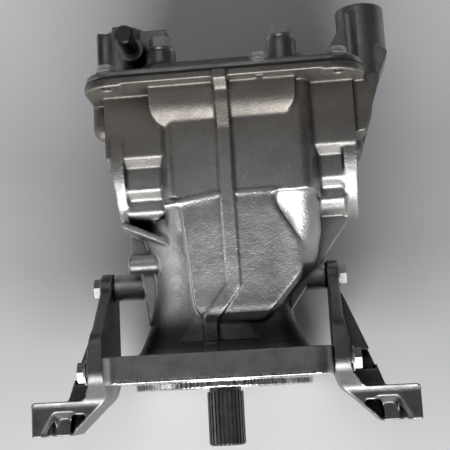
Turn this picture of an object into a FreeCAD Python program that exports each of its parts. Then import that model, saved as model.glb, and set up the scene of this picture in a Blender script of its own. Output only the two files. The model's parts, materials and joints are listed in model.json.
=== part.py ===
import FreeCAD, Part
import math
import os

# Differential carrier for an independent rear axle, all sizes in millimetres.
# Origin: on the pinion axis, in the front face of the front flange.
# +X right, +Y rearward to the cover, +Z up. The axle axis runs along X.

# Gear set
axle_y = 188.0
gear_module = 3.3
ring_teeth = 37
pinion_teeth = 15
gear_face = 20.0
gear_backlash = 1.6
pressure_angle = 20.0
tip_height = 0.75
root_depth = 1.1
spiral_lead = 0.34
ring_body_back = 15.0

# Differential gears
diff_x = 6.0
side_teeth = 16
spider_teeth = 10
diff_module = 2.75
diff_face = 6.5
diff_backlash = 0.7
side_spline_r = 12.0
side_spline_teeth = 24
side_spline_depth = 1.1
spline_lead_in = 6.0
side_hub_r = 17.0
side_hub_end = 33.0
spider_bore_r = 8.0
cross_pin_length = 76.0
thrust_washer = 1.0

# Differential case
case_r = 38.0
case_inner_r = 30.5
case_left = -30.0
case_flange_r = 56.0
case_flange = 9.0
case_hub_r = 22.0
case_window = 30.0
ring_bolt_circle = 49.0
ring_bolt_count = 10
ring_bolt_size = 10.0

# Side bearings, caps and seals
side_bearing_r = 38.0
side_bearing_width = 18.0
bearing_shoulder = 8.5
cap_height = 51.5
cap_depth = 50.0
cap_bolt_z = 43.6
cap_bolt_size = 8.0
cap_seat = 14.0
axle_seal_r = 31.0
axle_seal_bore_r = 16.5
axle_seal_width = 9.0

# Pinion shaft, bearings and seal
spline_r = 15.0
spline_teeth = 27
spline_depth = 1.3
spline_front = -52.3
spline_back = -9.0
pinion_neck_r = 13.2
front_bearing_y = 40.0
front_bearing_r = 36.0
front_bearing_bore = 16.0
front_bearing_width = 20.0
head_bearing_y = 94.0
head_bearing_r = 40.0
head_bearing_bore = 18.0
head_bearing_width = 23.0
pinion_seal_r = 38.0
pinion_seal_y = 16.0
pinion_seal_width = 11.0
pinion_nut_width = 11.0
spacer_wall = 2.5

# Carrier housing
centre_x = 17.0
wall = 7.0
cover_face_y = 237.6
flange_face_y = 231.6
flange_half_x = 112.5
flange_top_z = 92.0
flange_low_z = 84.0
flange_corner = 26.0
cover_bolt_dx = 91.5
bolt_edge = 8.5
side_bolt_z = 30.0
low_bolt_dx = 33.0
top_bolt_x = 47.0
chamber_left = -82.0
chamber_right = 120.0
shoulder_z = 60.0
bearing_room_r = 44.0
barrel_left = -31.0
barrel_right = 82.0
barrel_draft = 7.0
barrel_z = 72.0
barrel_front = 143.0
step_y = [180.0, 155.0, 138.5]
step_z = [60.0, 50.0, 40.0, 31.0]
step_run = 6.5
step_inset = 11.0
left_hub_x = -78.0
left_hub_r = 61.0
left_hub_rim = 10.0
right_hub_x = 120.0
right_hub_r = 59.0
right_hub_rim = 11.5
nose_front = 44.0
front_flange_x = 89.0
front_flange_z = 75.0
front_flange_thick = 21.2
front_flange_corner = 14.0
pilot_r = 73.0
pilot_length = 6.0
pilot_inner_r = 62.0
coupling_bolt_x = 75.0
coupling_bolt_z = 61.0
rib_width = 11.0
rib_height = 1.8
corner_boss_r = 14.0
corner_boss_height = 1.4
cover_bolt_bite = 4.5
rib_front_x = -4.0
boss_y = 82.0
boss_r = 11.5
wing_x = 142.0
wing_z = 24.0
wing_root_z = 56.0
pad_left = -42.0
pad_right = 74.0
pad_front = 203.0
pad_height = 8.0

# Rear cover
gasket = 0.6
cover_flange = 5.6
cover_depth = 22.0
cover_wall = 6.0
left_mount_x = -74.0
left_mount_z = 12.8
left_mount_r = 22.0
left_mount_end = 303.0
right_mount_x = 133.6
right_mount_z = 5.0
right_mount_r = 20.6
right_mount_end = 309.6
mount_bore_r = 12.0
mount_bore_depth = 34.0
fill_x = 65.0
fill_z = 50.0
drain_x = -36.0
drain_z = 40.0
plug_hex = 17.0
plug_head = 11.0
plug_boss_r = 12.5
fill_boss_end = 272.0
drain_boss_end = 273.0
plug_thread_r = 9.0
breather_x = -60.5
breather_y = 278.0
breather_seat_z = 44.0
breather_top_z = 79.0
breather_r = 7.0

# Front brackets
arm_x = 90.0
arm_outer_rear = 99.5
arm_outer_front = 103.5
arm_rear_y = 94.0
arm_top_z = 57.0
arm_low_z = -19.0
arm_rear_z = 12.5
foot_x = 157.0
foot_rear_y = -10.5
foot_front_y = -38.5
foot_top_z = 25.0
foot_inner_x = 124.5
web_top_z = 6.0
bracket_bolt_y = 11.0
bracket_bolt_z = [46.0, -4.0]
bracket_bolt_size = 10.0
foot_hole_x = 144.0
foot_hole_z = [-9.0, 15.0]
foot_hole_r = 4.25

# Fasteners and fits
cover_bolt_size = 8.0
running_gap = 0.05
seat_gap = 0.3
ear_r = 10.0

V = FreeCAD.Vector
X, Y, Z = V(1, 0, 0), V(0, 1, 0), V(0, 0, 1)


# Shape helpers
def box(x0, x1, y0, y1, z0, z1):
    return Part.makeBox(x1 - x0, y1 - y0, z1 - z0, V(x0, y0, z0))


def rod(start, direction, radius, length):
    return Part.makeCylinder(radius, length, V(*start), direction)


def tube(start, direction, outer, inner, length):
    return rod(start, direction, outer, length).cut(rod(start, direction, inner, length))


def join(shapes):
    # One at a time, because lofts and many solids together can come out wrong
    whole = shapes[0]
    for shape in shapes[1:]:
        whole = whole.fuse(shape)
    return whole.removeSplitter()


def rounded(corners, place):
    # A closed wire through corners (u, v, radius), with each corner an arc of its radius.
    edges = []
    count = len(corners)
    ends = []
    for i in range(count):
        u, v, radius = corners[i]
        before = corners[i - 1]
        after = corners[(i + 1) % count]
        a = V(before[0] - u, before[1] - v, 0).normalize()
        b = V(after[0] - u, after[1] - v, 0).normalize()
        point = V(u, v, 0)
        if radius == 0:
            ends.append((point, point, None))
            continue
        half = a.getAngle(b) / 2
        reach = radius / math.tan(half)
        middle = (a + b).normalize() * (radius / math.sin(half) - radius)
        ends.append((point + a * reach, point + b * reach, point + middle))
    for i in range(count):
        start, end, middle = ends[i]
        if middle:
            edges.append(Part.Arc(place(start), place(middle), place(end)).toShape())
        following = ends[(i + 1) % count][0]
        if (following - end).Length > 1e-6:
            edges.append(Part.LineSegment(place(end), place(following)).toShape())
    return Part.Wire(edges)


def plan(corners, z0, z1):
    wire = rounded(corners, lambda p: V(p.x, p.y, z0))
    return Part.Face(wire).extrude(V(0, 0, z1 - z0))


def side(corners, x0, x1):
    wire = rounded(corners, lambda p: V(x0, p.x, p.y))
    return Part.Face(wire).extrude(V(x1 - x0, 0, 0))


def plate(corners, y0, y1):
    wire = rounded(corners, lambda p: V(p.x, y0, p.y))
    return Part.Face(wire).extrude(V(0, y1 - y0, 0))


def revolve(points, place, origin, axis):
    wire = Part.makePolygon([place(p) for p in points + points[:1]])
    return Part.Face(wire).revolve(origin, axis, 360)


def revolve_y(points):
    # points are (y, radius) about the pinion axis
    return revolve(points, lambda p: V(p[1], p[0], 0), V(0, 0, 0), Y)


def revolve_x(points):
    # points are (x, radius) about the axle axis
    return revolve(points, lambda p: V(p[0], axle_y + p[1], 0), V(0, axle_y, 0), X)


def mirror_z(shape):
    return shape.mirror(V(0, 0, 0), Z)


def mirror_x(shape):
    return shape.mirror(V(0, 0, 0), X)


def hexagon(start, direction, across, length):
    corner_r = across / math.sqrt(3)
    angles = [k * math.pi / 3 for k in range(7)]
    points = [V(corner_r * math.cos(a), corner_r * math.sin(a), 0) for a in angles]
    prism = Part.Face(Part.makePolygon(points)).extrude(V(0, 0, length))
    cone = Part.makeCone(across / 2 + length * 1.6, across / 2 - 0.3, length * 1.1, V(0, 0, 0), Z)
    prism = prism.common(cone)
    prism.Placement = FreeCAD.Placement(V(*start), FreeCAD.Rotation(Z, direction))
    return prism


def bolt(seat, direction, size, length):
    # The head stands on the seat along direction, the shank runs back from it.
    head = hexagon(seat, direction, size * 1.6, size * 0.68)
    flange = rod(seat, direction, size * 0.98, size * 0.14)
    shank = rod(seat, direction * -1, size / 2 - running_gap, length)
    return join([head, flange, shank])


def group(solids):
    return Part.makeCompound(solids)


# Bevel teeth
def bevel_gear(teeth, mate_teeth, module, face, backlash, twist, phase, mean_blank):
    # A bevel gear about +Z with its pitch apex at the origin and its teeth towards +Z.
    # Returns the toothed solid and the sizes of its blank.
    pitch = math.atan2(teeth, mate_teeth)
    outer = module * math.hypot(teeth, mate_teeth) / 2
    inner = outer - face
    tooth_angle = 2 * math.pi / teeth
    thick = tooth_angle / 2 - backlash / (module * teeth)
    lean = math.tan(math.radians(pressure_angle))

    def on_cone(distance, height, angle):
        # height is measured square to the pitch cone at that distance
        radius = distance * math.sin(pitch) + height * math.cos(pitch)
        along = distance * math.cos(pitch) - height * math.sin(pitch)
        return V(radius * math.cos(angle), radius * math.sin(angle), along)

    def gap_wire(distance, spin):
        scale = distance / outer
        top = module * 1.25 * scale
        root = -module * root_depth * scale
        pitch_r = distance * math.sin(pitch)
        half = tooth_angle / 2 - thick / 2
        wide = half + lean * top / pitch_r
        narrow = max(half - lean * -root / pitch_r, half * 0.25)
        corners = [(-wide, top), (-half, 0.0), (-narrow, root), (narrow, root), (half, 0.0), (wide, top)]
        points = [on_cone(distance, h, a + spin) for a, h in corners]
        return Part.makePolygon(points + points[:1])

    tip = module * tip_height
    low = module * root_depth
    rim = mean_blank
    blank_points = []
    corners = [(inner, tip * inner / outer), (outer, tip), (outer, -low - rim), (inner, -low - rim)]
    for distance, height in corners:
        p = on_cone(distance, height, 0)
        blank_points.append(V(p.x, 0, p.z))
    blank = Part.Face(Part.makePolygon(blank_points + blank_points[:1])).revolve(V(0, 0, 0), Z, 360)
    reach = 1.5
    stations = [inner - reach, inner + face * 0.5, outer + reach]
    gap = Part.makeLoft([gap_wire(d, twist * math.log(d / outer)) for d in stations], True, True)
    cuts = []
    for k in range(teeth):
        turned = gap.copy()
        turned.rotate(V(0, 0, 0), Z, math.degrees(k * tooth_angle + phase))
        cuts.append(turned)
    return blank.cut(cuts)


def ring_sizes():
    pitch_r = gear_module * ring_teeth / 2
    outer = gear_module * math.hypot(ring_teeth, pinion_teeth) / 2
    angle = math.atan2(ring_teeth, pinion_teeth)
    return pitch_r, outer, angle


ring_r, gear_cone, ring_angle = ring_sizes()
pinion_r = gear_module * pinion_teeth / 2
ring_front = (gear_cone - gear_face) * math.cos(ring_angle)
ring_back = pinion_r + ring_body_back
ring_bore_r = (gear_cone - gear_face) * math.sin(ring_angle) - gear_module * 1.6
ring_cavity_r = ring_r + gear_module + 1.6
case_flange_x = ring_back
case_right = case_flange_x + case_flange
left_bearing_x = case_left - bearing_shoulder
right_bearing_x = case_right + ring_bolt_size * 0.82 + 3.5


def ring_gear():
    gear = bevel_gear(ring_teeth, pinion_teeth, gear_module, gear_face, gear_backlash, spiral_lead,
                      -math.pi / 2, 2.0)
    gear.Placement = FreeCAD.Placement(V(0, axle_y, 0), FreeCAD.Rotation(Z, X))
    root_r = ring_r - gear_module * 0.4
    body = revolve_x([(ring_front + 3.5, ring_bore_r), (ring_back, ring_bore_r), (ring_back, ring_r),
                      (pinion_r + 3.0, ring_r + 0.8), (pinion_r + 4.2, root_r - 2.0)])
    gear = join([gear, body])
    return gear.cut(ring_bolt_holes(pinion_r + 4.0, case_right + 1, ring_bolt_size / 2))


def ring_bolt_points():
    points = []
    for k in range(ring_bolt_count):
        angle = 2 * math.pi * k / ring_bolt_count
        points.append((axle_y + ring_bolt_circle * math.cos(angle), ring_bolt_circle * math.sin(angle)))
    return points


def ring_bolt_holes(x0, x1, radius):
    return [rod((x0, y, z), X, radius, x1 - x0) for y, z in ring_bolt_points()]


def ring_bolts():
    length = case_flange + ring_body_back - 6.0
    return group([bolt((case_right, y, z), X, ring_bolt_size, length) for y, z in ring_bolt_points()])


def pinion_shaft():
    lead = -spiral_lead * ring_teeth / pinion_teeth
    gear = bevel_gear(pinion_teeth, ring_teeth, gear_module, gear_face, gear_backlash, lead,
                      math.pi / pinion_teeth, 2.0)
    gear.Placement = FreeCAD.Placement(V(0, axle_y, 0), FreeCAD.Rotation(Z, Y * -1))
    head_back = head_bearing_y + head_bearing_width
    inner = gear_cone - gear_face
    small_r = inner * math.sin(math.atan2(pinion_teeth, ring_teeth)) - gear_module * 0.9
    small_y = axle_y - inner * math.cos(math.atan2(pinion_teeth, ring_teeth)) - 0.5
    large_y = axle_y - ring_r
    large_r = pinion_r - gear_module * (root_depth + 0.1)
    seat_front = front_bearing_y - pinion_nut_width
    shaft = revolve_y([
        (spline_front, 0), (spline_front, spline_r - 1.5), (spline_front + 1.5, spline_r),
        (spline_back, spline_r), (spline_back + 0.1, pinion_neck_r), (spline_back + 5, pinion_neck_r),
        (spline_back + 5.1, spline_r + 0.8), (seat_front, spline_r + 0.8),
        (seat_front + 0.1, front_bearing_bore),
        (front_bearing_y + front_bearing_width + 4, front_bearing_bore),
        (front_bearing_y + front_bearing_width + 8, head_bearing_bore),
        (head_back, head_bearing_bore), (head_back + 0.1, pinion_r - 1.0), (large_y, large_r),
        (small_y, small_r), (small_y, 0)])
    body = join([shaft, gear])
    grooves = spline_grooves(spline_r - spline_depth, spline_depth + 1, spline_teeth, spline_front - 1,
                             spline_back + 1)
    for groove in grooves:
        groove.rotate(V(0, 0, 0), X, -90)
    return body.cut(grooves)


# Rolling bearings
def tapered_bearing(name, start, direction, bore, outer, width, rollers):
    # The cone is thick at start; the cup opens towards the far end.
    mean = (bore + outer) / 2
    depth = (outer - bore) * 0.17
    slope = width * 0.15
    place = FreeCAD.Placement(V(*start), FreeCAD.Rotation(Z, direction))

    def spun(points):
        wire = Part.makePolygon([V(r, 0, z) for z, r in points + points[:1]])
        shape = Part.Face(wire).revolve(V(0, 0, 0), Z, 360)
        shape.Placement = place
        return shape

    low = 0.12 * width

    def track(along, radius):
        return radius - slope * (2 * along / width - 1)

    race = mean - depth
    cup_r = mean + depth + running_gap
    cone = spun([(0, bore), (width, bore), (width, track(width, race)), (low, track(low, race)),
                 (low, race + depth * 0.7), (0, race + depth * 0.7)])
    cup = spun([(low, outer), (width, outer), (width, track(width, cup_r)), (low, track(low, cup_r))])
    tilt = math.atan2(2 * slope, width)
    roller_r = depth * math.cos(tilt) - running_gap
    solids = []
    for k in range(rollers):
        roller = Part.makeCylinder(roller_r, width * 0.66, V(0, 0, -width * 0.33), Z)
        roller.rotate(V(0, 0, 0), Y, -math.degrees(tilt))
        roller.translate(V(mean, 0, width * 0.5))
        roller.rotate(V(0, 0, 0), Z, 360.0 * k / rollers)
        roller.Placement = place.multiply(roller.Placement)
        solids.append(roller)
    return {name + "_cone": cone, name + "_cup": cup, name + "_rollers": group(solids)}


def bearings():
    left_start = (left_bearing_x, axle_y, 0)
    right_start = (right_bearing_x, axle_y, 0)
    made = {}
    made.update(tapered_bearing("left_side_bearing", left_start, X * -1, case_hub_r, side_bearing_r,
                                side_bearing_width, 18))
    made.update(tapered_bearing("right_side_bearing", right_start, X, case_hub_r, side_bearing_r,
                                side_bearing_width, 18))
    made.update(tapered_bearing("front_pinion_bearing", (0, front_bearing_y, 0), Y, front_bearing_bore,
                                front_bearing_r, front_bearing_width, 14))
    made.update(tapered_bearing("head_pinion_bearing", (0, head_bearing_y + head_bearing_width, 0), Y * -1,
                                head_bearing_bore, head_bearing_r, head_bearing_width, 15))
    return made


# Pinion fittings
def pinion_spacer():
    start = front_bearing_y + front_bearing_width
    end = head_bearing_y
    bulge = head_bearing_bore + spacer_wall + 4
    middle = (start + end) / 2
    inner = head_bearing_bore + running_gap
    outer = inner + spacer_wall
    return revolve_y([(start, inner), (start, outer), (middle - 7, outer), (middle, bulge),
                      (middle + 7, outer), (end, outer), (end, inner), (middle + 7, inner),
                      (middle, bulge - spacer_wall), (middle - 7, inner)])


def pinion_nut():
    start = front_bearing_y - pinion_nut_width
    corner_r = 2 * (spline_r + 9) / math.sqrt(3)
    angles = [k * math.pi / 3 for k in range(6)]
    points = [(corner_r * math.cos(a), corner_r * math.sin(a), 0) for a in angles]
    nut = plate(points, start, front_bearing_y)
    return nut.cut(rod((0, start, 0), Y, front_bearing_bore, pinion_nut_width))


def pinion_seal():
    lip = spline_r + 0.85
    end = pinion_seal_y + pinion_seal_width
    start = pinion_seal_y
    inner = pinion_seal_r - 2.5
    return revolve_y([(start, pinion_seal_r), (end, pinion_seal_r), (end, lip + 5), (end - 2, lip + 5),
                      (end - 2, inner), (start + 2.5, inner), (start + 2.5, lip + 3), (start + 4.5, lip),
                      (start + 2, lip), (start, lip + 2)])


# Differential
def differential_case():
    hub_left = left_bearing_x - side_bearing_width - 2
    hub_right = right_bearing_x + side_bearing_width + 2
    shoulder = case_hub_r + 5
    outer = revolve_x([
        (hub_left, side_hub_r - 2), (hub_left, case_hub_r), (left_bearing_x, case_hub_r),
        (left_bearing_x, shoulder), (case_left, shoulder + 2), (diff_x - 24, case_r - 4),
        (diff_x - 16, case_r),
        (ring_front + 3.5, case_r), (ring_front + 3.5, ring_bore_r), (case_flange_x, ring_bore_r),
        (case_flange_x, case_flange_r), (case_right, case_flange_r), (case_right, shoulder + 6),
        (right_bearing_x, shoulder), (right_bearing_x, case_hub_r), (hub_right, case_hub_r),
        (hub_right, side_hub_r - 2)])
    ball = Part.makeSphere(case_inner_r, V(diff_x, axle_y, 0))
    side_back = side_gear_back()
    room = rod((diff_x - side_back - thrust_washer, axle_y, 0), X, side_gear_r() + 3.2,
               2 * (side_back + thrust_washer))
    hub_room = side_hub_r + running_gap
    hub_bore = rod((diff_x - side_hub_end - 1, axle_y, 0), X, hub_room, 2 * (side_hub_end + 1))
    shaft_bore = rod((hub_left - 1, axle_y, 0), X, side_hub_r - 2, hub_right - hub_left + 2)
    half = case_window / 2
    windows = box(diff_x - half, diff_x + half - 6, axle_y - case_r - 1, axle_y + case_r + 1, -half, half)
    pin_hole = rod((diff_x, axle_y, -case_r - 2), Z, spider_bore_r, 2 * case_r + 4)
    case = outer.cut([ball, room, hub_bore, shaft_bore, windows, pin_hole, lock_pin()])
    return case.cut(ring_bolt_holes(case_flange_x - 1, case_right + 1, ring_bolt_size / 2))


def side_gear_r():
    return diff_module * side_teeth / 2


def spider_gear_r():
    return diff_module * spider_teeth / 2


def side_gear_back():
    return spider_gear_r() + 7.5


def root_points(teeth, mate_teeth, module, face):
    # Two points (along, radius) just under the tooth roots, at the inner and the outer end.
    pitch = math.atan2(teeth, mate_teeth)
    outer = module * math.hypot(teeth, mate_teeth) / 2
    depth = module * (root_depth + 0.1)
    points = []
    for distance in (outer - face, outer):
        down = depth * distance / outer
        points.append((distance * math.cos(pitch) + down * math.sin(pitch),
                       distance * math.sin(pitch) - down * math.cos(pitch)))
    return points


def spline_grooves(radius, depth, teeth, start, end):
    # Groove cutters about +Z that leave the spline teeth standing between them.
    half = math.pi * radius / teeth / 2
    grooves = []
    for k in range(teeth):
        groove = box(radius, radius + depth, -half, half, start, end)
        groove.rotate(V(0, 0, 0), Z, 360.0 * k / teeth)
        grooves.append(groove)
    return grooves


def side_gear(sign):
    gear = bevel_gear(side_teeth, spider_teeth, diff_module, diff_face, diff_backlash, 0.0,
                      math.pi / side_teeth, 1.0)
    back = side_gear_back()
    inner, outer = root_points(side_teeth, spider_teeth, diff_module, diff_face)
    body = revolve_z([(inner[0], 0), inner, outer, (outer[0] + 0.5, side_gear_r() + 0.5),
                      (back, side_gear_r() + 2.0), (back, side_hub_r), (side_hub_end, side_hub_r),
                      (side_hub_end, 0)])
    bore = rod((0, 0, 0), Z, side_spline_r, side_hub_end + 1)
    lead_in_r = side_spline_r + side_spline_depth + 0.3
    lead_in = rod((0, 0, side_hub_end - spline_lead_in), Z, lead_in_r, spline_lead_in + 1)
    gear = join([gear, body]).cut([bore, lead_in])
    grooves = spline_grooves(side_spline_r - 1, side_spline_depth + 1, side_spline_teeth, 0,
                             side_hub_end + 1)
    gear = gear.cut(grooves)
    direction = X * sign
    gear.Placement = FreeCAD.Placement(V(diff_x, axle_y, 0), FreeCAD.Rotation(Z, direction))
    return gear


def revolve_z(points):
    return revolve(points, lambda p: V(p[1], 0, p[0]), V(0, 0, 0), Z)


def spider_gear(sign):
    gear = bevel_gear(spider_teeth, side_teeth, diff_module, diff_face, diff_backlash, 0.0, 0.0, 1.0)
    inner, outer = root_points(spider_teeth, side_teeth, diff_module, diff_face)
    end = case_inner_r - thrust_washer
    body = revolve_z([(inner[0], 0), inner, outer, (outer[0] + 0.6, spider_gear_r() + 0.4),
                      (end, spider_gear_r() + 0.8), (end, 0)])
    gear = join([gear, body])
    ball = Part.makeSphere(case_inner_r - thrust_washer)
    gear = gear.common(ball).cut(rod((0, 0, 0), Z, spider_bore_r + running_gap, case_r))
    gear.Placement = FreeCAD.Placement(V(diff_x, axle_y, 0), FreeCAD.Rotation(Z, Z * sign))
    return gear


def cross_pin():
    half = cross_pin_length / 2
    pin = rod((diff_x, axle_y, -half), Z, spider_bore_r, 2 * half)
    return pin.cut(lock_pin())


def lock_pin():
    reach = spider_bore_r + 12
    return rod((diff_x, axle_y, case_r - 5), X, 2.0, reach)


def thrust_washers():
    washers = []
    back = side_gear_back()
    for sign in (-1, 1):
        start = (diff_x + sign * back, axle_y, 0)
        thick = thrust_washer - running_gap
        washers.append(tube(start, X * sign, side_gear_r() + 2, side_hub_r + 0.3, thick))
    ball = Part.makeSphere(case_inner_r - running_gap, V(diff_x, axle_y, 0))
    inner = Part.makeSphere(case_inner_r - thrust_washer + running_gap, V(diff_x, axle_y, 0))
    for sign in (-1, 1):
        start = (diff_x, axle_y, sign * (case_inner_r - 6))
        disc = tube(start, Z * sign, spider_gear_r() - 1, spider_bore_r + 0.3, 9)
        washers.append(disc.common(ball).cut(inner))
    return group(washers)


# Carrier housing
def flange_outline(grow):
    x0 = centre_x - flange_half_x - grow
    x1 = centre_x + flange_half_x + grow
    low = -flange_low_z - grow
    top = flange_top_z + grow
    corner = flange_corner + grow
    return [(x0, low, corner), (x1, low, corner), (x1, top, corner), (x0, top, corner)]


def cover_bolt_points():
    low_edge = -flange_low_z + bolt_edge
    top_edge = flange_top_z - bolt_edge
    points = [(top_bolt_x, top_edge + 1)]
    for sx in (-1, 1):
        for z in (low_edge, top_edge):
            points.append((centre_x + sx * cover_bolt_dx, z))
        for z in (-side_bolt_z, side_bolt_z):
            points.append((centre_x + sx * (flange_half_x - bolt_edge), z))
        points.append((centre_x + sx * low_bolt_dx, low_edge))
    return points


def both_halves(upper):
    return [upper, mirror_z(upper)]


def shoulders():
    # The stepped front of the chamber on both sides of the ring gear barrel
    solids = []
    end = flange_face_y + 2
    for k in range(3):
        foot = step_y[k] - step_run
        profile = [(end, 0, 0), (end, step_z[k], 0), (step_y[k], step_z[k], 2.5), (foot, step_z[k + 1], 2),
                   (foot - 1, 0, 0)]
        inset = step_inset if k else 0
        solids += both_halves(side(profile, chamber_left + inset, barrel_left + 10))
        solids += both_halves(side(profile, barrel_right - 10, chamber_right - inset))
    return solids


def ring_section(y, x0, x1, z, corner):
    # A rounded outline across the pinion axis, for lofts
    outline = [(x0, -z, corner), (x1, -z, corner), (x1, z, corner), (x0, z, corner)]
    return rounded(outline, lambda p: V(p.x, y, p.y))


def barrel():
    # The ring gear barrel, with drafted sides, and the funnel that runs down from it to the neck
    y0, y1 = barrel_front, flange_face_y + 2
    top = [(barrel_left - barrel_draft, -barrel_z + 22, 0), (barrel_left, -barrel_z, 10),
           (barrel_right, -barrel_z, 10), (barrel_right + barrel_draft, -barrel_z + 22, 0),
           (barrel_right + barrel_draft, barrel_z - 22, 0), (barrel_right, barrel_z, 10),
           (barrel_left, barrel_z, 10), (barrel_left - barrel_draft, barrel_z - 22, 0)]
    x0, x1 = barrel_left - barrel_draft, barrel_right + barrel_draft
    funnel = Part.makeLoft([ring_section(y0 + 3, x0 + 4, x1 - 4, barrel_z, 16),
                            ring_section(y0 - 6, x0 + 1, x1 - 2, barrel_z - 7, 20),
                            ring_section(118, x0 - 3, x1 - 1, 51, 24),
                            ring_section(90, x0 - 2, x1 - 7, 32, 20),
                            ring_section(70, x0 + 2, 62, 14, 12)], True, True)
    return [plate(top, y0, y1), funnel]


def dome():
    # The nose over the pinion, narrower in plan and sloping down to the front
    outline = [(-24, barrel_front + 20, 0), (-22, 128, 30), (-15, nose_front + 2, 16), (38, nose_front, 12),
               (70, 80, 14), (71, 102, 16), (52, barrel_front - 10, 20), (52, barrel_front + 20, 0)]
    profile = [(barrel_front + 20, 0, 0), (barrel_front + 20, barrel_z, 0), (barrel_front - 3, barrel_z, 6),
               (nose_front + 12, 60, 14), (nose_front, 48, 6), (nose_front - 1, 0, 0)]
    body = plan(outline, 0, barrel_z + 1).common(side(profile, -40, 90))
    return both_halves(body)


def ellipse_wire(y, half_x, half_z, x):
    ellipse = Part.Ellipse(V(x, y, 0), half_x, half_z)
    wire = Part.Wire(ellipse.toShape())
    wire.rotate(V(x, y, 0), X, 90)
    return wire


def neck():
    sections = [(front_flange_thick - 2, 76, 60, 1), (32, 67, 50, 1), (50, 60, 47, 1), (72, 58, 49, 4),
                (104, 66, 54, 8), (132, 72, 60, 12)]
    return Part.makeLoft([ellipse_wire(*s) for s in sections], True, False)


def hubs():
    left = rod((left_hub_x, axle_y, 0), X, left_hub_r, left_hub_rim)
    right = rod((right_hub_x - right_hub_rim, axle_y, 0), X, right_hub_r, right_hub_rim)
    front = box(left_hub_x - 1, right_hub_x + 1, 0, flange_face_y + 1, -left_hub_r, left_hub_r)
    return [left.common(front), right.common(front)]


def front_flange():
    z = front_flange_z
    x = front_flange_x
    corner = front_flange_corner
    outline = [(-x, -z, corner), (x, -z, corner), (x, z, corner), (-x, z, corner)]
    pilot = rod((0, -pilot_length, 0), Y, pilot_r, pilot_length + 1)
    return [plate(outline, 0, front_flange_thick), pilot]


def side_webs():
    # Flat gussets in the parting plane, from the chamber to the neck
    right = plan([(58, 40, 0), (58.5, 54, 14), (110, 126, 4), (116, axle_y - 40, 0), (40, axle_y - 40, 0)],
                 -10, 10)
    left = plan([(-59, 48, 0), (-61, 66, 4), (-64, 90, 3), (-72, 106, 4), (-72, 121, 4),
                 (left_hub_x + 2, axle_y - 44, 3), (-30, axle_y - 44, 0), (-30, 48, 0)], -14, 14)
    slant = plan([(-75, 133, 1), (-38, 116, 0), (-38, 110, 0), (-75, 127, 1)], -42, 42)
    return [right, left, slant]


def bracket_bosses():
    length = front_flange_x
    left = rod((-length, boss_y, 0), X, boss_r, length - 20)
    right = rod((20, boss_y, 0), X, boss_r, length - 20)
    upper_lug = rod((-73, boss_y + 17, 20), X, 8.5, 38)
    return [left, right, upper_lug]


def pad():
    outline = [(pad_left, pad_front - 6, 15), (0, pad_front + 2, 60), (pad_right, pad_front, 15),
               (pad_right, flange_face_y + 2, 0), (pad_left, flange_face_y + 2, 0)]
    end = flange_face_y + 2
    low = pad_front - 8
    profile = [(end, 40, 0), (end, barrel_z + pad_height, 0), (pad_front + 12, barrel_z + pad_height, 22),
               (low, barrel_z - 6, 0), (low, 40, 0)]
    body = plan(outline, 40, barrel_z + pad_height + 1).common(side(profile, pad_left - 5, pad_right + 5))
    return [body]


def rib():
    # The raised parting rib that runs from the cover flange down the nose
    half = rib_width / 2
    bend_y = 74.0
    front_y = nose_front + 4
    top = flange_top_z + 1
    x0, x1 = centre_x - 1 - half, centre_x - 1 + half
    straight = side([(cover_face_y, 30, 0), (cover_face_y, top, 0), (flange_face_y - 2, top, 0),
                     (flange_face_y - 7, barrel_z + pad_height + rib_height, 4),
                     (pad_front + 13, barrel_z + pad_height + rib_height, 8),
                     (pad_front - 8, barrel_z + rib_height, 6),
                     (barrel_front - 2, barrel_z + rib_height, 6), (nose_front + 12, 60 + rib_height, 10),
                     (nose_front - 2, 49, 4), (nose_front - 2, 30, 0)], -40, 60)
    path = [(x0, cover_face_y, 0), (x0, bend_y, 3), (rib_front_x - half, front_y, 3),
            (rib_front_x - half, front_flange_thick, 0), (rib_front_x + half, front_flange_thick, 0),
            (rib_front_x + half, front_y - 2, 3), (x1, bend_y - 3, 3), (x1, cover_face_y, 0)]
    strip = plan(path, 30, top + 1)
    low = box(rib_front_x - half, rib_front_x + half, front_flange_thick - 1, front_y, 30, 52)
    return [strip.common(straight), low]


def corner_bosses():
    # Low round bosses round the two upper corner bolts, on the front of the cover flange
    outline = plate(flange_outline(0), flange_face_y - corner_boss_height, cover_face_y)
    bosses = []
    for x, z in cover_bolt_points():
        if z > side_bolt_z and abs(x - centre_x) > flange_half_x / 2:
            boss = rod((x, flange_face_y - corner_boss_height, z), Y, corner_boss_r, corner_boss_height + 2)
            bosses.append(boss.common(outline))
    return bosses


def bullet(x, front, z):
    # A round column with a domed front end, in one turned piece
    centre = V(x, 0, z)
    profile = [(front - ear_r, 0), (front - ear_r * 0.92, ear_r * 0.39), (front - ear_r * 0.71, ear_r * 0.71),
               (front - ear_r * 0.39, ear_r * 0.92), (front, ear_r), (cover_face_y, ear_r), (cover_face_y, 0)]
    return revolve(profile, lambda p: centre + V(p[1], p[0], 0), centre, Y)


def ears():
    # Bolt columns down the sides of the cover flange
    solids = []
    for sx, front in ((-1, 213.0), (1, 198.0)):
        x = centre_x + sx * (flange_half_x - bolt_edge)
        for z in (side_bolt_z, -side_bolt_z):
            solids.append(bullet(x, front, z))
    root = chamber_right - 4
    wing = plan([(root, axle_y, 0), (chamber_right + 8, axle_y + 2, 4), (wing_x, flange_face_y, 3),
                 (wing_x, cover_face_y, 0), (root, cover_face_y, 0)], axle_seal_r + 2, wing_root_z)
    return solids + both_halves(wing)


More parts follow.
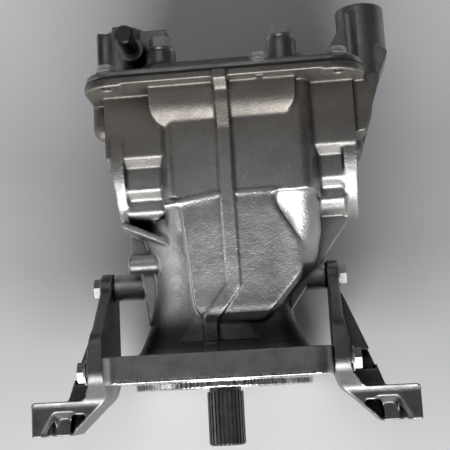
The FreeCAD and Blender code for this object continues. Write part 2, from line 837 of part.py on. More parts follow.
def crease():
    # The low ridge across the barrel where the flat top turns down to the nose
    y = barrel_front
    top = barrel_z + 1.8
    profile = [(y + 3, barrel_z - 4, 0), (y + 2, top, 0.8), (y - 0.5, top, 0.8), (y - 4, barrel_z - 6, 0)]
    right = side(profile, 10, 54)
    left = side(profile, -36, 10)
    left.rotate(V(10, y, 0), Z, 8)
    return [right, left]


def housing_outside():
    solids = [plate(flange_outline(0), flange_face_y, cover_face_y)]
    for make in (barrel, dome, shoulders, hubs, front_flange, side_webs, bracket_bosses, pad, rib,
                 corner_bosses, ears, crease):
        solids += make()
    solids.append(neck())
    return join(solids)


def housing_cavity():
    inner = shoulder_z - wall - 1
    end = cover_face_y + 1
    x0, x1 = chamber_left + wall + 1, chamber_right - wall - 1
    main = [rod((x0, axle_y, 0), X, bearing_room_r, x1 - x0), box(x0, x1, axle_y, end, -inner, inner)]
    r0, r1 = ring_front - 6, case_right + 8
    ring = [rod((r0, axle_y, 0), X, ring_cavity_r, r1 - r0),
            box(r0, r1, axle_y, end, -ring_cavity_r, ring_cavity_r)]
    pinion_room = [rod((0, head_bearing_y, 0), Y, head_bearing_r, 60)]
    return join(main + ring + pinion_room)


def saddles():
    # Where the casting stays solid inside the chamber to carry the bearings, up to the centre line
    inner = shoulder_z - wall
    width = side_bearing_width + 2
    front = axle_y - inner
    left = box(left_bearing_x - width, left_bearing_x + 2, front, axle_y, -inner, inner)
    right = box(right_bearing_x - 2, right_bearing_x + width, front, axle_y, -inner, inner)
    return [left, right]


def housing_bores():
    seat = side_bearing_width + 6
    left_bore = left_bearing_x - side_bearing_width - chamber_left
    right_bore = chamber_right - right_bearing_x - side_bearing_width
    left_seat = left_bearing_x - side_bearing_width - 3
    return [
        rod((chamber_left - 1, axle_y, 0), X, axle_seal_r, left_bore),
        rod((chamber_right + 1, axle_y, 0), X * -1, axle_seal_r, right_bore),
        rod((left_seat, axle_y, 0), X, side_bearing_r, seat),
        rod((right_bearing_x - 3, axle_y, 0), X, side_bearing_r, seat),
        rod((0, -pilot_length - 1, 0), Y, pilot_inner_r, pilot_length + 5),
        rod((0, 0, 0), Y, pinion_seal_r, front_bearing_y - 4),
        rod((0, front_bearing_y - 5, 0), Y, front_bearing_r, front_bearing_width + 5),
        rod((0, front_bearing_y, 0), Y, front_bearing_r - 5, head_bearing_y - front_bearing_y + 1),
    ]


def housing_holes():
    holes = []
    for x, z in cover_bolt_points():
        deep = 26 if abs(z) == side_bolt_z else cover_face_y - flange_face_y + 2
        holes.append(rod((x, cover_face_y + 1, z), Y * -1, cover_bolt_size / 2, deep + 1))
    radius = bracket_bolt_size / 2
    for sx in (-1, 1):
        x = sx * (front_flange_x + 1)
        for z in (-coupling_bolt_z, coupling_bolt_z):
            start = (sx * coupling_bolt_x, -1, z)
            holes.append(rod(start, Y, foot_hole_r, front_flange_thick - 2))
        holes.append(rod((x, boss_y, 0), X * -sx, radius, 26))
        for z in bracket_bolt_z:
            holes.append(rod((x, bracket_bolt_y, z), X * -sx, radius, 19))
    for z in (cap_bolt_z, -cap_bolt_z):
        for x in cap_middles():
            holes.append(rod((x, axle_y + 1, z), Y * -1, cap_bolt_size / 2, 27))
    return holes


def cap_middles():
    half = side_bearing_width / 2
    return [left_bearing_x - half, right_bearing_x + half]


def carrier_housing():
    room = housing_cavity()
    for saddle in saddles():
        room = room.cut(saddle)
    body = housing_outside().cut(room)
    return body.cut(housing_bores() + housing_holes())


def bearing_cap(middle):
    half = side_bearing_width / 2
    seat = axle_y + cap_seat
    corners = [(axle_y, -cap_height, 0), (axle_y, cap_height, 0), (seat, cap_height, 0),
               (axle_y + cap_depth, 24, 16), (axle_y + cap_depth, -24, 16), (seat, -cap_height, 0)]
    cap = side(corners, middle - half, middle + half)
    cuts = [rod((middle - half - 1, axle_y, 0), X, side_bearing_r, side_bearing_width + 2)]
    for z in (cap_bolt_z, -cap_bolt_z):
        cuts.append(rod((middle, axle_y - 1, z), Y, cap_bolt_size / 2, cap_seat + 2))
        cuts.append(rod((middle, seat, z), Y, cap_bolt_size, cap_depth))
    return cap.cut(cuts)


def cap_bolts():
    solids = []
    for middle in cap_middles():
        for z in (cap_bolt_z, -cap_bolt_z):
            solids.append(bolt((middle, axle_y + cap_seat, z), Y, cap_bolt_size, cap_seat + 22))
    return group(solids)


def axle_seal(face_x, direction):
    sign = direction.x
    depth = axle_seal_width
    lip = axle_seal_bore_r
    inner = axle_seal_r - 2.5
    points = [(0, axle_seal_r), (depth, axle_seal_r), (depth, lip + 5), (depth - 2, lip + 5),
              (depth - 2, inner), (2.5, inner), (2.5, lip + 2), (4.5, lip), (2, lip), (0, lip + 2)]
    return revolve_x([(face_x + sign * (1.5 + d), r) for d, r in points])


# Rear cover
def cover_start():
    return cover_face_y + gasket


def cover_back():
    return cover_start() + cover_flange


def cover_gasket():
    x0 = chamber_left + wall + 1
    x1 = chamber_right - wall - 1
    inner = ring_cavity_r
    outline = [(x0, -inner, 10), (x1, -inner, 10), (x1, inner, 10), (x0, inner, 10)]
    sheet = plate(flange_outline(-0.5), cover_face_y, cover_start())
    holes = [rod((x, cover_face_y - 1, z), Y, cover_bolt_size / 2, 3) for x, z in cover_bolt_points()]
    return sheet.cut(holes + [plate(outline, cover_face_y, cover_start())])


def cover_shell(offset, y_end):
    # The bulged back of the cover over the ring gear and the differential
    x0 = chamber_left + 12 + offset
    x1 = chamber_right - 6 - offset
    z = 68 - offset
    corner = 26 - offset
    base = cover_start() if offset else cover_start() + 1
    base_wire = rounded([(x0, -z, corner), (x1, -z, corner), (x1, z, corner), (x0, z, corner)],
                        lambda p: V(p.x, base, p.y))
    inset = 14
    top_wire = rounded([(x0 + inset, -z + inset, corner), (x1 - inset, -z + inset, corner),
                        (x1 - inset, z - inset, corner), (x0 + inset, z - inset, corner)],
                       lambda p: V(p.x, y_end, p.y))
    return Part.makeLoft([base_wire, top_wire], True, True)


def cover_mounts():
    start = cover_start()
    left = rod((left_mount_x, start, left_mount_z), Y, left_mount_r, left_mount_end - start)
    right = rod((right_mount_x, start, right_mount_z), Y, right_mount_r, right_mount_end - start)
    side_x = right_mount_x + right_mount_r
    wing = plan([(chamber_right - 4, start, 0), (wing_x, start, 0), (side_x, start + 28, 3),
                 (right_mount_x, start + 40, 0)], -wing_z, wing_z)
    edge = side_x + 1
    corner = plan([(wing_x, start - 1, 0), (edge, start - 1, 0), (edge, start + 29, 0)], -60, 60)
    return [left, right.cut(corner), wing.cut(corner)]


def cover_webs():
    start = cover_back() - 1
    outline = [(86, start, 0), (right_mount_x, start, 0), (right_mount_x, 300, 0), (118, 296, 3)]
    right = plan(outline, 14, 21)
    lower = mirror_z(right)
    block = box(-57, -33, start, 300, 2, 26)
    left = plan([(left_mount_x, start, 0), (-14, start, 0), (-48, 292, 4), (left_mount_x, 292, 0)], -12, -4)
    return [right, lower, block, left]


def cover_bosses():
    start = cover_start() + 1
    fill = rod((fill_x, start, fill_z), Y, plug_boss_r, fill_boss_end - start)
    drain = rod((drain_x, start, drain_z), Y, plug_boss_r, drain_boss_end - start)
    tower = rod((breather_x, breather_y, left_mount_z), Z, breather_r + 3.5, breather_seat_z - left_mount_z)
    return [fill, drain, tower]


def rear_cover():
    start = cover_start()
    solids = [plate(flange_outline(-1.5), start, cover_back()), cover_shell(0, start + cover_depth)]
    solids += cover_mounts() + cover_webs() + cover_bosses()
    solids += cover_ribs()
    body = join(solids)
    cuts = [cover_shell(cover_wall, start + cover_depth - cover_wall)]
    for x, z in cover_bolt_points():
        cuts.append(rod((x, start - 1, z), Y, cover_bolt_size / 2, cover_flange + 40))
        cuts.append(rod((x, cover_back(), z), Y, cover_bolt_size * 1.15, 60))
    for x, z, end in ((left_mount_x, left_mount_z, left_mount_end),
                      (right_mount_x, right_mount_z, right_mount_end)):
        cuts.append(rod((x, end + 1, z), Y * -1, mount_bore_r, mount_bore_depth + 1))
    for x, z in ((fill_x, fill_z), (drain_x, drain_z)):
        cuts.append(rod((x, start - 1, z), Y, plug_thread_r, 60))
    cuts.append(rod((breather_x, breather_y, breather_seat_z - 12), Z, 4.0, 13))
    return body.cut(cuts)


def cover_ribs():
    y0 = cover_back() - 1
    y1 = cover_start() + cover_depth - 1.5
    solids = []
    for x in (-10, 17, 44):
        solids.append(box(x - 2.5, x + 2.5, y0, y1, -flange_low_z + 4, -40))
    for z in (-30, 0, 30):
        solids.append(box(80, 126, y0, y1 - 6, z - 2.5, z + 2.5))
    return solids


def cover_bolts():
    length = cover_flange + gasket + cover_bolt_bite
    return group([bolt((x, cover_back(), z), Y, cover_bolt_size, length) for x, z in cover_bolt_points()])


def plug(x, z, seat_y):
    head = hexagon((x, seat_y + 1.5, z), Y, plug_hex, plug_head)
    collar = rod((x, seat_y + 1.5, z), Y, plug_boss_r - 1.5, 2)
    thread = rod((x, seat_y + 1.5, z), Y * -1, plug_thread_r - running_gap, 14)
    return join([head, collar, thread])


def plug_washer(x, z, seat_y):
    return tube((x, seat_y, z), Y, plug_boss_r - 0.5, plug_thread_r, 1.5)


def mount_sleeve(x, z, end_y):
    return tube((x, end_y + 1.0, z), Y * -1, mount_bore_r, mount_bore_r - 3.5, mount_bore_depth)


def breather_stem():
    stem = rod((breather_x, breather_y, breather_seat_z - 12), Z, 4.0, 30)
    collar = rod((breather_x, breather_y, breather_seat_z), Z, breather_r - 0.5, 4)
    return join([stem, collar]).cut(rod((breather_x, breather_y, breather_seat_z - 13), Z, 2.0, 40))


def breather_cap():
    low = breather_seat_z + 4.0
    skirt = revolve_at([(low, breather_r), (breather_top_z - 10, breather_r - 0.2),
                        (breather_top_z - 9, breather_r + 0.8), (breather_top_z - 1.5, breather_r + 0.8),
                        (breather_top_z, breather_r - 0.6), (breather_top_z, 0), (low, 0)])
    return skirt.cut(rod((breather_x, breather_y, low - 1), Z, 4.0, 15.2))


def revolve_at(points):
    # points are (z, radius) about the breather
    centre = V(breather_x, breather_y, 0)
    return revolve(points, lambda p: centre + V(p[1], 0, p[0]), centre, Z)


# Front brackets
def bracket():
    # The right-hand bracket; the left one is its mirror image.
    outline = [(arm_x, arm_rear_y, 0), (arm_x, 2, 12), (94, -10.5, 14), (105, -20, 8),
               (foot_inner_x, foot_front_y, 1.5), (foot_x, foot_front_y, 1.5), (foot_x, foot_rear_y, 3),
               (113, foot_rear_y, 9), (arm_outer_front, 2, 14),
               (arm_outer_front - 1, 25, 20), (arm_outer_rear, 45, 10), (arm_outer_rear, arm_rear_y, 0)]
    front = foot_front_y - 1
    profile = [(arm_rear_y, arm_low_z + 8, 8), (arm_rear_y, arm_rear_z, 11), (79, arm_rear_z + 1, 10),
               (38, arm_top_z, 12), (4, arm_top_z, 14), (-11, foot_top_z, 10), (front, foot_top_z, 0),
               (front, arm_low_z, 0), (78, arm_low_z, 12)]
    body = plan(outline, arm_low_z - 1, arm_top_z + 1).common(side(profile, arm_x - 1, foot_x + 1))
    heel = foot_rear_y - 2
    web = plan([(arm_outer_rear - 2, 68, 0), (arm_outer_rear + 2, 66, 3), (124, 10, 0), (132, heel, 0),
                (104, heel, 0)], arm_low_z, web_top_z)
    pocket_outline = [(109, -21.5, 2), (126, -21.5, 4), (128, -35.5, 1), (125.5, -35.5, 0.6)]
    pocket = plan(pocket_outline, 6, foot_top_z + 1)
    low = rounded([(127, -24, 3), (136, -24, 4), (144, front, 3), (127, front, 0)],
                  lambda p: V(p.x, p.y, 13))
    high = rounded([(120, -18.5, 3), (139, -18.5, 4), (152, front, 3), (120, front, 0)],
                   lambda p: V(p.x, p.y, foot_top_z + 1))
    scoop = Part.makeLoft([low, high], True, True)
    body = join([body, web]).cut([pocket, scoop])
    holes = [rod((arm_x - 1, boss_y, 0), X, bracket_bolt_size / 2, 20)]
    for z in bracket_bolt_z:
        holes.append(rod((arm_x - 1, bracket_bolt_y, z), X, bracket_bolt_size / 2, 30))
        holes.append(rod((arm_outer_front + 1.0, bracket_bolt_y, z), X, bracket_bolt_size * 1.2, 20))
    for z in foot_hole_z:
        holes.append(rod((foot_hole_x, front, z), Y, foot_hole_r, 23))
    face = arm_x - 1.0
    spacers = [tube((face, boss_y, 0), X, boss_r - 1, bracket_bolt_size / 2, 1.0)]
    for z in bracket_bolt_z:
        spacers.append(tube((face, bracket_bolt_y, z), X, 9.0, bracket_bolt_size / 2, 1.0))
    return join([body.cut(holes)] + spacers)


def bracket_bolts(sign):
    solids = [bolt((arm_outer_rear, boss_y, 0), X, bracket_bolt_size, 34)]
    for z in bracket_bolt_z:
        solids.append(bolt((arm_outer_front + 1.0, bracket_bolt_y, z), X, bracket_bolt_size, 32))
    bolts = group(solids)
    return bolts if sign > 0 else mirror_x(bolts)


def make_nodes():
    nodes = {
        "carrier_housing": carrier_housing(),
        "rear_cover": rear_cover(),
        "cover_gasket": cover_gasket(),
        "cover_bolts": cover_bolts(),
        "fill_plug": plug(fill_x, fill_z, fill_boss_end),
        "fill_plug_washer": plug_washer(fill_x, fill_z, fill_boss_end),
        "drain_plug": plug(drain_x, drain_z, drain_boss_end),
        "drain_plug_washer": plug_washer(drain_x, drain_z, drain_boss_end),
        "breather_stem": breather_stem(),
        "breather_cap": breather_cap(),
        "left_mount_sleeve": mount_sleeve(left_mount_x, left_mount_z, left_mount_end),
        "right_mount_sleeve": mount_sleeve(right_mount_x, right_mount_z, right_mount_end),
        "right_bracket": bracket(),
        "left_bracket": mirror_x(bracket()),
        "right_bracket_bolts": bracket_bolts(1),
        "left_bracket_bolts": bracket_bolts(-1),
        "pinion_shaft": pinion_shaft(),
        "pinion_spacer": pinion_spacer(),
        "pinion_nut": pinion_nut(),
        "pinion_seal": pinion_seal(),
        "ring_gear": ring_gear(),
        "ring_gear_bolts": ring_bolts(),
        "differential_case": differential_case(),
        "left_side_gear": side_gear(-1),
        "right_side_gear": side_gear(1),
        "upper_spider_gear": spider_gear(1),
        "lower_spider_gear": spider_gear(-1),
        "spider_cross_pin": cross_pin(),
        "cross_pin_lock": lock_pin(),
        "thrust_washers": thrust_washers(),
        "left_bearing_cap": bearing_cap(cap_middles()[0]),
        "right_bearing_cap": bearing_cap(cap_middles()[1]),
        "bearing_cap_bolts": cap_bolts(),
        "left_axle_seal": axle_seal(left_hub_x, X),
        "right_axle_seal": axle_seal(right_hub_x, X * -1),
    }
    nodes.update(bearings())
    return nodes


def main():
    os.makedirs("parts", exist_ok=True)
    for name, shape in make_nodes().items():
        print(name, len(shape.Solids), round(shape.Volume / 1000, 2), shape.isValid())
        shape.exportStep("parts/" + name + ".step")


main()
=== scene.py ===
import bpy
import json
import math
from mathutils import Matrix, Vector


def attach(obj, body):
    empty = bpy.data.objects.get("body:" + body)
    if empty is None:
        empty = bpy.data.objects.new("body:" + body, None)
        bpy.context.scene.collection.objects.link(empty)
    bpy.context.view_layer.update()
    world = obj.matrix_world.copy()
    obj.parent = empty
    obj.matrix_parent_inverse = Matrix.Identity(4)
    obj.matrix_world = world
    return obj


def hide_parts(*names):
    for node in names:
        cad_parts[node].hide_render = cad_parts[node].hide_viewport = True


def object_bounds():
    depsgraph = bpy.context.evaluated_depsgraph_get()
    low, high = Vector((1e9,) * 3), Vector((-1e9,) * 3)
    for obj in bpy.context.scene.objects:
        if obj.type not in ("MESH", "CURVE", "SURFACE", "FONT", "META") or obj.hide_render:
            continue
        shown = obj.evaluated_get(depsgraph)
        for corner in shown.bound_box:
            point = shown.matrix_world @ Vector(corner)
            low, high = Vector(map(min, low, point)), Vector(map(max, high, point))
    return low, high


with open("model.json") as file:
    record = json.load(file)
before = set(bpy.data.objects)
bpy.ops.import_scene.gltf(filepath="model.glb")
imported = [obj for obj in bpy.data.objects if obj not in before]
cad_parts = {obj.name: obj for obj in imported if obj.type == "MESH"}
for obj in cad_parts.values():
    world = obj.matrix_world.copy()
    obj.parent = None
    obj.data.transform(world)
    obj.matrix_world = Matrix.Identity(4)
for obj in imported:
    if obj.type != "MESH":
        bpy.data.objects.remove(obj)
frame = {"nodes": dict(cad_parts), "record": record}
nodes = frame["nodes"]
cad_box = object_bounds()

# Camera, fitted to the photograph: place in metres, turns in degrees, lens and sensor in millimetres
CAMERA_PLACE = (0.0728, -0.01176, 0.7925)
CAMERA_PITCH = 10.18
CAMERA_YAW = 4.67
CAMERA_ROLL = -3.87
CAMERA_LENS = 75.78
SENSOR = 36.0

# Cast pieces: voxel size in metres, and passes of smoothing
CAST_VOXEL = 0.001
SMALL_VOXEL = 0.0009
HOUSING_PASSES = 5
SMALL_PASSES = 4
NOSE_PASSES = 30

# The housing's fall towards the nose: a share of the height, and a share of what stands above a level
CROWN = 0.05
NOSE_LEVEL = 0.044
NOSE_FALL = 0.5

# The parting rib: its middle line in plan, the region it lies in, half its width at the top and
# at the foot, and how far it is raised
RIB_PATH = ((0.016, 0.240), (0.016, 0.0725), (-0.004, 0.047), (-0.004, 0.021))
RIB_X = (-0.012, 0.024)
RIB_Y = (0.022, 0.238)
RIB_LOW = 0.036
RIB_TOP = 0.0046
RIB_FOOT = 0.0058
RIB_RAISE = 0.0010

# Bevel on machined and forged pieces
EDGE_WIDTH = 0.0004
EDGE_ANGLE = 35.0

# Nodes that are shown as remeshed castings, and toothed ones that keep their edges
CASTINGS = ("carrier_housing", "rear_cover", "left_bracket", "right_bracket")
TOOTHED = ("pinion_shaft", "ring_gear")

FLOOR_Z = cad_box[0].z
FLOOR_HALF = 3.0
FLOOR_GAP = 0.0005
SKY = (0.9, 0.93, 1.0)
SKY_STRENGTH = 0.075


def make_camera():
    data = bpy.data.cameras.new("camera")
    data.sensor_width = SENSOR
    data.lens = CAMERA_LENS
    data.clip_start = 0.01
    data.clip_end = 20.0
    camera = bpy.data.objects.new("camera", data)
    bpy.context.scene.collection.objects.link(camera)
    turn = (Matrix.Rotation(math.radians(CAMERA_PITCH), 4, "X")
            @ Matrix.Rotation(math.radians(CAMERA_YAW), 4, "Y")
            @ Matrix.Rotation(math.radians(CAMERA_ROLL), 4, "Z"))
    camera.matrix_world = Matrix.Translation(CAMERA_PLACE) @ turn
    bpy.context.scene.camera = camera


# Materials
class Nodes:
    """Short calls for one material's node tree."""

    def __init__(self, name):
        self.material = bpy.data.materials.new(name)
        self.material.use_nodes = True
        self.tree = self.material.node_tree
        self.shader = self.tree.nodes["Principled BSDF"]
        self.place = self.add("ShaderNodeTexCoord").outputs["Object"]

    def add(self, kind, **settings):
        node = self.tree.nodes.new(kind)
        for key, value in settings.items():
            setattr(node, key, value)
        return node

    def link(self, start, end):
        self.tree.links.new(start, end)

    def noise(self, scale, detail=3.0, rough=0.5, place=None):
        node = self.add("ShaderNodeTexNoise")
        node.inputs["Scale"].default_value = scale
        node.inputs["Detail"].default_value = detail
        node.inputs["Roughness"].default_value = rough
        self.link(place or self.place, node.inputs["Vector"])
        return node.outputs["Fac"]

    def ramp(self, value, stops):
        node = self.add("ShaderNodeValToRGB")
        ramp = node.color_ramp
        while len(ramp.elements) < len(stops):
            ramp.elements.new(0.5)
        for element, (at, colour) in zip(ramp.elements, stops):
            element.position = at
            level = colour if isinstance(colour, tuple) else (colour, colour, colour)
            element.color = (*level, 1.0)
        self.link(value, node.inputs["Fac"])
        return node.outputs["Color"]

    def mix(self, a, b, factor, blend="MIX"):
        node = self.add("ShaderNodeMix", data_type="RGBA", blend_type=blend)
        for socket, value in ((node.inputs[0], factor), (node.inputs[6], a), (node.inputs[7], b)):
            if hasattr(value, "is_linked"):
                self.link(value, socket)
            elif isinstance(value, tuple):
                socket.default_value = (*value, 1.0)
            else:
                socket.default_value = value
        return node.outputs[2]

    def maths(self, operation, a, b=0.0):
        node = self.add("ShaderNodeMath", operation=operation)
        for socket, value in zip(node.inputs, (a, b)):
            if hasattr(value, "is_linked"):
                self.link(value, socket)
            else:
                socket.default_value = value
        return node.outputs[0]

    def bump(self, height, strength, distance, after=None):
        node = self.add("ShaderNodeBump")
        node.inputs["Strength"].default_value = strength
        node.inputs["Distance"].default_value = distance
        self.link(height, node.inputs["Height"])
        if after:
            self.link(after, node.inputs["Normal"])
        return node.outputs["Normal"]

    def hollows(self, distance):
        node = self.add("ShaderNodeAmbientOcclusion", samples=6)
        node.inputs["Distance"].default_value = distance
        return node.outputs["AO"]

    def pointiness(self):
        return self.add("ShaderNodeNewGeometry").outputs["Pointiness"]

    def axis(self, index):
        node = self.add("ShaderNodeSeparateXYZ")
        self.link(self.place, node.inputs[0])
        return node.outputs[index]

    def stretched(self, factors):
        node = self.add("ShaderNodeMapping")
        node.inputs["Scale"].default_value = factors
        self.link(self.place, node.inputs["Vector"])
        return node.outputs["Vector"]

    def set(self, colour=None, rough=None, normal=None, metallic=None):
        wanted = {"Base Color": colour, "Roughness": rough, "Normal": normal, "Metallic": metallic}
        for name, value in wanted.items():
            if value is None:
                continue
            socket = self.shader.inputs[name]
            if hasattr(value, "is_linked"):
                self.link(value, socket)
            elif isinstance(value, tuple):
                socket.default_value = (*value, 1.0)
            else:
                socket.default_value = value
        return self.material


def cast_metal(n, dark, light, metallic, rough, grain):
    """Sand-cast metal: mottled skin, fine grain, paler worn edges, painted shade in creases and painted
    shade in hollows.
    """
    patch = n.ramp(n.noise(26.0, 5.0, 0.6), [(0.3, dark), (0.7, light)])
    speck = n.ramp(n.noise(1100.0, 2.0, 0.7), [(0.3, 0.8), (0.7, 1.12)])
    skin = n.mix(patch, speck, 1.0, "MULTIPLY")
    # Paler convex edges as wear; concave creases darkened as painted shade.
    edge = n.ramp(n.pointiness(), [(0.40, 0.38), (0.485, 0.92), (0.5, 1.0), (0.53, 1.2), (0.6, 1.5)])
    skin = n.mix(skin, edge, 1.0, "MULTIPLY")
    # Painted shade: colour darkened where ambient occlusion finds hollows and recesses.
    hollow_shade = n.ramp(n.hollows(0.03), [(0.22, 0.22), (0.7, 1.0)])
    skin = n.mix(skin, hollow_shade, 1.0, "MULTIPLY")
    fine = n.noise(760.0, 2.0, 0.5)
    coarse = n.noise(170.0, 2.0, 0.5)
    normal = n.bump(coarse, 0.3 * grain, 0.001)
    normal = n.bump(fine, 0.45 * grain, 0.0004, normal)
    level = n.ramp(n.noise(60.0, 3.0), [(0.3, rough - 0.06), (0.7, rough + 0.08)])
    return skin, level, normal


def casting(name, dark, light, metallic, rough, grain):
    n = Nodes(name)
    skin, level, normal = cast_metal(n, dark, light, metallic, rough, grain)
    return n.set(skin, level, normal, metallic)


def housing_metal():
    """The carrier's aluminium: orange-peel nose, painted highlight on the nose and painted shade on the
    neck, browner cover end also darkened as painted shade, turned pilot.
    """
    n = Nodes("cast_aluminium")
    skin, level, normal = cast_metal(n, (0.27, 0.268, 0.262), (0.36, 0.356, 0.348), 1.0, 0.43, 1.0)
    along = n.axis(1)
    # Browner tone at the cover end, with the same tint darkening it as painted shade; rougher there too.
    cover_tan_and_shade = n.ramp(n.maths("ADD", along, n.maths("MULTIPLY", n.noise(14.0, 3.0), 0.05)),
                 [(0.19, 0.0), (0.225, 1.0)])
    skin = n.mix(skin, n.mix(skin, (0.78, 0.735, 0.68), 1.0, "MULTIPLY"), cover_tan_and_shade)
    # Painted light along the housing: painted shade on the neck, painted highlight on the nose and funnel,
    # fading out towards the cover.
    paler = n.ramp(along, [(0.021, 1.0), (0.025, 0.4), (0.042, 0.4), (0.055, 2.1), (0.09, 2.0),
                           (0.13, 1.6), (0.17, 1.0)])
    skin = n.mix(skin, paler, 1.0, "MULTIPLY")
    nose = n.maths("MULTIPLY", n.ramp(along, [(0.045, 0.0), (0.06, 1.0), (0.138, 1.0), (0.146, 0.25)]),
                   n.ramp(n.axis(2), [(0.038, 0.0), (0.052, 1.0)]))
    peel = n.maths("MULTIPLY", n.noise(620.0, 1.0, 0.4), nose)
    normal = n.bump(peel, 0.33, 0.0005, normal)
    level = n.maths("ADD", level, n.maths("MULTIPLY", cover_tan_and_shade, 0.09))
    turned = n.ramp(along, [(0.0002, 1.0), (0.0006, 0.0)])
    streak = n.noise(60.0, 3.0, 0.7, n.stretched((9.0, 1.0, 9.0)))
    bright = n.ramp(streak, [(0.35, 0.34), (0.5, 0.62), (0.65, 0.85)])
    skin = n.mix(skin, bright, turned)
    level = n.mix(level, n.ramp(streak, [(0.3, 0.18), (0.7, 0.34)]), turned)
    return n.set(skin, level, normal, 1.0)


def steel(name, dark, light, rough, scratch, metallic=1.0):
    """Machined or plated steel with stains and fine tool marks."""
    n = Nodes(name)
    stain = n.ramp(n.noise(90.0, 4.0, 0.6), [(0.3, dark), (0.7, light)])
    marks = n.noise(40.0, 3.0, 0.6, n.stretched((1.0, 18.0, 18.0)))
    colour = n.mix(stain, n.ramp(marks, [(0.35, 0.85), (0.65, 1.1)]), 1.0, "MULTIPLY")
    level = n.ramp(marks, [(0.3, rough - 0.08), (0.7, rough + 0.1)])
    normal = n.bump(marks, scratch, 0.0003)
    return n.set(colour, level, normal, metallic)


def polymer(name, colour, rough, grain):
    """Rubber, fibre or moulded plastic with a fine skin."""
    n = Nodes(name)
    paler = tuple(min(1.0, c * 1.5 + 0.005) for c in colour)
    skin = n.ramp(n.noise(220.0, 3.0), [(0.35, colour), (0.7, paler)])
    level = n.ramp(n.noise(120.0, 2.0), [(0.3, rough - 0.05), (0.7, rough + 0.08)])
    normal = n.bump(n.noise(900.0, 2.0), grain, 0.0003)
    return n.set(skin, level, normal, 0.0)


def make_materials():
    return {
        "cast_aluminium": housing_metal(),
        "cover_aluminium": casting("cover_aluminium", (0.27, 0.265, 0.26), (0.38, 0.375, 0.365),
                                   1.0, 0.43, 1.0),
        "bracket_iron": casting("bracket_iron", (0.17, 0.175, 0.17), (0.25, 0.255, 0.245), 1.0, 0.42, 0.7),
        "cap_iron": casting("cap_iron", (0.14, 0.14, 0.14), (0.22, 0.22, 0.22), 0.7, 0.40, 0.4),
        "bolt_steel": steel("bolt_steel", (0.38, 0.38, 0.37), (0.54, 0.54, 0.53), 0.42, 0.25, 0.6),
        "gear_steel": steel("gear_steel", (0.26, 0.265, 0.27), (0.36, 0.365, 0.37), 0.30, 0.3),
        "shaft_steel": steel("shaft_steel", (0.10, 0.105, 0.105), (0.20, 0.205, 0.205), 0.38, 0.35, 0.9),
        "bearing_steel": steel("bearing_steel", (0.5, 0.51, 0.52), (0.62, 0.63, 0.64), 0.16, 0.08),
        "washer_aluminium": steel("washer_aluminium", (0.55, 0.55, 0.55), (0.7, 0.7, 0.7), 0.32, 0.2),
        "gasket": polymer("gasket", (0.035, 0.035, 0.035), 0.75, 0.3),
        "seal_rubber": polymer("seal_rubber", (0.012, 0.012, 0.013), 0.5, 0.2),
        "breather_plastic": polymer("breather_plastic", (0.004, 0.0045, 0.006), 0.28, 0.15),
    }


def dress(materials):
    slots = {s["node"]: s["material_slot"] for s in frame["record"]["subparts"]}
    for name, obj in nodes.items():
        material = materials[slots[name]]
        if not obj.material_slots:
            obj.data.materials.append(material)
        for material_slot in obj.material_slots:
            material_slot.material = material


# Cast pieces
def apply_modifiers(obj):
    graph = bpy.context.evaluated_depsgraph_get()
    mesh = bpy.data.meshes.new_from_object(obj.evaluated_get(graph))
    obj.modifiers.clear()
    obj.data = mesh


def eased(value, start, end):
    t = min(1.0, max(0.0, (value - start) / (end - start)))
    return t * t * (3.0 - 2.0 * t)


def rib_distance(x, y):
    """How far a point lies, in plan, from the middle of the parting rib."""
    nearest = 1.0
    for (ax, ay), (bx, by) in zip(RIB_PATH, RIB_PATH[1:]):
        dx, dy = bx - ax, by - ay
        t = min(1.0, max(0.0, ((x - ax) * dx + (y - ay) * dy) / (dx * dx + dy * dy)))
        nearest = min(nearest, math.hypot(x - ax - t * dx, y - ay - t * dy))
    return nearest


def crown(obj):
    """The chamber and nose fall away to the front, as the shading shows, and the rib stands proud."""
    for v in obj.data.vertices:
        near_rib = RIB_X[0] < v.co.x < RIB_X[1] and RIB_Y[0] < v.co.y < RIB_Y[1]
        if near_rib and v.co.z > RIB_LOW:
            v.co.z += RIB_RAISE * (1.0 - eased(rib_distance(v.co.x, v.co.y), RIB_TOP, RIB_FOOT))
        fall = CROWN * (1.0 - eased(v.co.y, 0.135, 0.215)) * eased(v.co.y, 0.036, 0.062)
        v.co.z *= 1.0 - fall
        spare = abs(v.co.z) - NOSE_LEVEL
        if spare > 0.0 and v.co.y > 0.03:
            drop = spare * NOSE_FALL * (1.0 - eased(v.co.y, 0.02, 0.15))
            v.co.z -= math.copysign(drop, v.co.z)


def ease_nose(obj):
    """More rounding on the nose and funnel than on the rest, with the rib kept crisp."""
    group = obj.vertex_groups.new(name="nose")
    for v in obj.data.vertices:
        y = v.co.y
        along = eased(y, 0.03, 0.045) * (1.0 - eased(y, 0.150, 0.165))
        here = along * eased(abs(v.co.z), 0.012, 0.03)
        away = eased(rib_distance(v.co.x, y), 0.006, 0.010) if v.co.z > 0.0 else 1.0
        if here * away > 0.01:
            group.add([v.index], here * away, "REPLACE")
    smooth = obj.modifiers.new("nose", "SMOOTH")
    smooth.factor = 0.5
    smooth.iterations = NOSE_PASSES
    smooth.vertex_group = "nose"


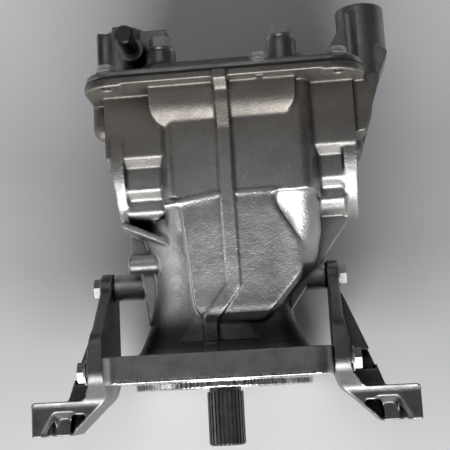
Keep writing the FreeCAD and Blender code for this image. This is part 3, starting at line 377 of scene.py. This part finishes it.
def cast_piece(name, node, voxel, passes, slot_name):
    """The CAD solid as a casting: every edge gets the rounding a mould leaves."""
    obj = bpy.data.objects.new(name, nodes[node].data.copy())
    bpy.context.scene.collection.objects.link(obj)
    remesh = obj.modifiers.new("remesh", "REMESH")
    remesh.mode = "VOXEL"
    remesh.voxel_size = voxel
    smooth = obj.modifiers.new("smooth", "SMOOTH")
    smooth.factor = 0.5
    smooth.iterations = passes
    apply_modifiers(obj)
    if node == "carrier_housing":
        ease_nose(obj)
        apply_modifiers(obj)
        crown(obj)
    obj.data.materials.clear()
    obj.data.materials.append(materials[slot_name])
    obj.data.polygons.foreach_set("use_smooth", [True] * len(obj.data.polygons))
    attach(obj, "housing")
    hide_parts(node)


def soften(obj):
    """A small bevel on a machined or forged piece, so its edges catch the light."""
    bevel = obj.modifiers.new("edge", "BEVEL")
    bevel.width = EDGE_WIDTH
    bevel.segments = 2
    bevel.limit_method = "ANGLE"
    bevel.angle_limit = math.radians(EDGE_ANGLE)
    bevel.harden_normals = True


# Studio
def softbox(name, place, target, size, power):
    data = bpy.data.lights.new(name, "AREA")
    data.shape = "RECTANGLE"
    data.size, data.size_y = size
    data.energy = power
    lamp = bpy.data.objects.new(name, data)
    bpy.context.scene.collection.objects.link(lamp)
    lamp.location = place
    lamp.rotation_euler = (Vector(target) - Vector(place)).to_track_quat("-Z", "Y").to_euler()


def make_floor():
    mesh = bpy.data.meshes.new("floor")
    half = FLOOR_HALF
    z = FLOOR_Z - FLOOR_GAP
    corners = [(-half, -half, z), (half, -half, z), (half, half, z), (-half, half, z)]
    mesh.from_pydata(corners, [], [(0, 1, 2, 3)])
    floor = bpy.data.objects.new("floor", mesh)
    bpy.context.scene.collection.objects.link(floor)
    n = Nodes("floor")
    paper = n.ramp(n.noise(3.0, 2.0), [(0.3, (0.94, 0.945, 0.96)), (0.7, (1.0, 1.0, 1.0))])
    # Painted light and shade on the floor: paler towards the front and the back, darker in between.
    painted_floor_light = n.ramp(n.maths("ADD", n.axis(1), 0.3), [(0.18, 0.93), (0.42, 0.66), (0.52, 0.66), (0.75, 1.0)])
    paper = n.mix(paper, painted_floor_light, 1.0, "MULTIPLY")
    mesh.materials.append(n.set(paper, 0.85, n.bump(n.noise(300.0), 0.05, 0.0005), 0.0))


def make_sky():
    world = bpy.data.worlds.new("world")
    bpy.context.scene.world = world
    world.use_nodes = True
    background = world.node_tree.nodes["Background"]
    background.inputs[0].default_value = (*SKY, 1.0)
    background.inputs[1].default_value = SKY_STRENGTH


def make_lights():
    softbox("key", (0.0, -2.45, 1.15), (0.0, 0.1, 0.0), (2.6, 1.6), 118.0)
    softbox("top", (-0.2, 0.55, 1.3), (0.0, 0.15, 0.0), (0.7, 0.7), 1.1)
    softbox("left", (-1.1, -0.1, 0.35), (0.0, 0.12, 0.0), (0.7, 0.4), 1.5)


make_camera()
materials = make_materials()
dress(materials)

cast_piece("housing_casting", "carrier_housing", CAST_VOXEL, HOUSING_PASSES, "cast_aluminium")
cast_piece("cover_casting", "rear_cover", CAST_VOXEL, SMALL_PASSES, "cover_aluminium")
for side in ("left", "right"):
    cast_piece(side + "_bracket_casting", side + "_bracket", SMALL_VOXEL, SMALL_PASSES, "bracket_iron")
for name, obj in nodes.items():
    if name not in CASTINGS + TOOTHED:
        soften(obj)

make_floor()
make_sky()
make_lights()
bpy.context.scene.view_settings.view_transform = "Standard"
